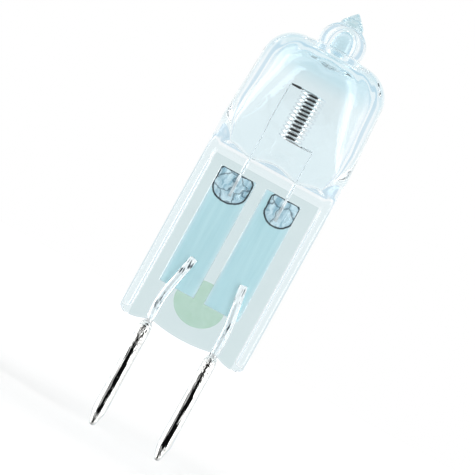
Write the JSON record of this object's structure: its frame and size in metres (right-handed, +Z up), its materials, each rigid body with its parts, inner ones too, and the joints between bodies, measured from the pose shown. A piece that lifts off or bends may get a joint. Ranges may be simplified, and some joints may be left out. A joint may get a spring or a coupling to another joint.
{
  "type": "halogen capsule bulb",
  "caption": "Clear quartz capsule lamp with an upright coiled filament in a round bulb, a flat press seal with metal foils, and straight contact pins below.",
  "frame": {"origin": "On the bulb's axis, level with the lowest glass, where the face of a lamp holder would lie.", "axes": "+Z runs up the bulb's axis to the tip, +X runs through both contact pins, and Y runs through the thin press seal."},
  "size_m": [0.0122, 0.0116, 0.042],
  "materials": {
    "quartz_glass": "clear fused quartz, glossy",
    "tungsten_wire": "drawn tungsten wire, dark grey",
    "molybdenum_foil": "thin etched foil, pale and matt under the glass",
    "molybdenum_wire": "drawn molybdenum wire, satin",
    "nickel_plate": "bright nickel plating with fine drawing marks"
  },
  "bodies": {
    "root": {"envelope": "quartz_glass", "filament": "tungsten_wire", "foil_left": "molybdenum_foil", "foil_right": "molybdenum_foil", "outer_lead_left": "molybdenum_wire", "outer_lead_right": "molybdenum_wire", "contact_pin_left": "nickel_plate", "contact_pin_right": "nickel_plate"}
  },
  "joints": []
}
